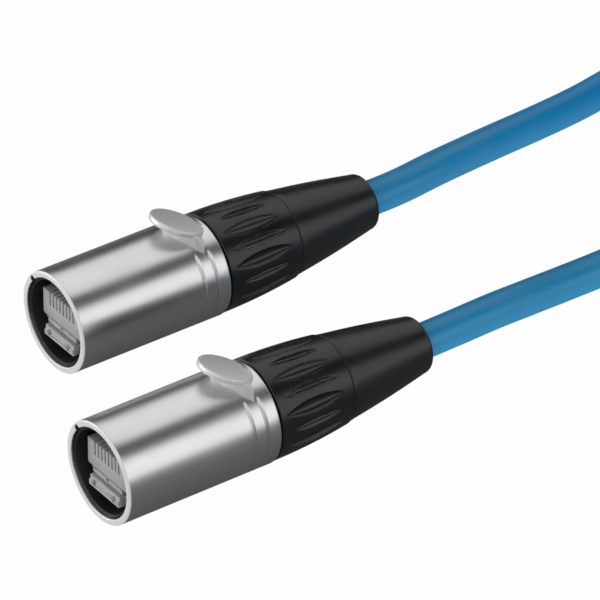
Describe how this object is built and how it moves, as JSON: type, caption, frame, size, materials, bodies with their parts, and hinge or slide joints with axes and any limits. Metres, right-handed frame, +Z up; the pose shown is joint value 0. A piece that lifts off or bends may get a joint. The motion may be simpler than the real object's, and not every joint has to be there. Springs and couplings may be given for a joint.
{
  "type": "data cable with round-shell connector carriers",
  "caption": "Blue round data cable tied in a hank, with a metal round-shell connector carrier, latch plug, fluted bushing and boot on each end.",
  "frame": {"origin": "on the surface that the cable lies on, below the middle of the box round the two connectors", "axes": "+X along both connectors from open mouth to cable, +Z up through the thumb tabs"},
  "size_m": [0.2627, 0.0744, 0.0425],
  "materials": {
    "shell_metal": "satin nickel plate",
    "insert_plastic": "matte black",
    "plug_plastic": "smoky clear polycarbonate",
    "contact_gold": "gold plated",
    "load_bar_plastic": "translucent white",
    "conductor_insulation": "striped pairs",
    "chuck_plastic": "moulded black",
    "bushing_plastic": "fine satin black",
    "boot_rubber": "soft satin black",
    "cable_jacket": "matte blue",
    "tie_fabric": "hook and loop"
  },
  "bodies": {
    "cable": {"shell_a": "shell_metal", "insert_a": "insert_plastic", "plug_body_a": "plug_plastic", "plug_contacts_a": "contact_gold", "load_bar_a": "load_bar_plastic", "conductors_a": "conductor_insulation", "shell_b": "shell_metal", "insert_b": "insert_plastic", "plug_body_b": "plug_plastic", "plug_contacts_b": "contact_gold", "load_bar_b": "load_bar_plastic", "conductors_b": "conductor_insulation", "cable_run_a": "cable_jacket", "cable_run_b": "cable_jacket", "cable_hank": "cable_jacket", "hank_tie": "tie_fabric"},
    "plug_latch_a": {"plug_latch_a": "plug_plastic"},
    "cable_chuck_a": {"cable_chuck_a": "chuck_plastic"},
    "bushing_a": {"bushing_a": "bushing_plastic", "cable_boot_a": "boot_rubber"},
    "plug_latch_b": {"plug_latch_b": "plug_plastic"},
    "cable_chuck_b": {"cable_chuck_b": "chuck_plastic"},
    "bushing_b": {"bushing_b": "bushing_plastic", "cable_boot_b": "boot_rubber"}
  },
  "joints": [
    {"name": "latch_press_a", "type": "hinge", "parent": "cable", "child": "plug_latch_a", "pos_m": [-0.0226, 0.021, 0.00625], "axis": [0, -1, 0], "range_deg": [0, 6], "stiffness_Nm_per_rad": 0.3},
    {"name": "chuck_slide_a", "type": "slide", "parent": "cable", "child": "cable_chuck_a", "axis": [1, 0, 0], "range_m": [0, 0.00601]},
    {"name": "bushing_turn_a", "type": "hinge", "parent": "cable_chuck_a", "child": "bushing_a", "pos_m": [0.016, 0.021, 0.0095], "axis": [1, 0, 0], "range_deg": [0, 1440]},
    {"name": "latch_press_b", "type": "hinge", "parent": "cable", "child": "plug_latch_b", "pos_m": [-0.0416, -0.021, 0.00625], "axis": [0, -1, 0], "range_deg": [0, 6], "stiffness_Nm_per_rad": 0.3},
    {"name": "chuck_slide_b", "type": "slide", "parent": "cable", "child": "cable_chuck_b", "axis": [1, 0, 0], "range_m": [0, 0.00601]},
    {"name": "bushing_turn_b", "type": "hinge", "parent": "cable_chuck_b", "child": "bushing_b", "pos_m": [-0.003, -0.021, 0.0095], "axis": [1, 0, 0], "range_deg": [0, 1440]}
  ],
  "couplings": [
    {"joint": "chuck_slide_a", "follows": "bushing_turn_a", "m_per_rad": 0.00023873},
    {"joint": "chuck_slide_b", "follows": "bushing_turn_b", "m_per_rad": 0.00023873}
  ]
}
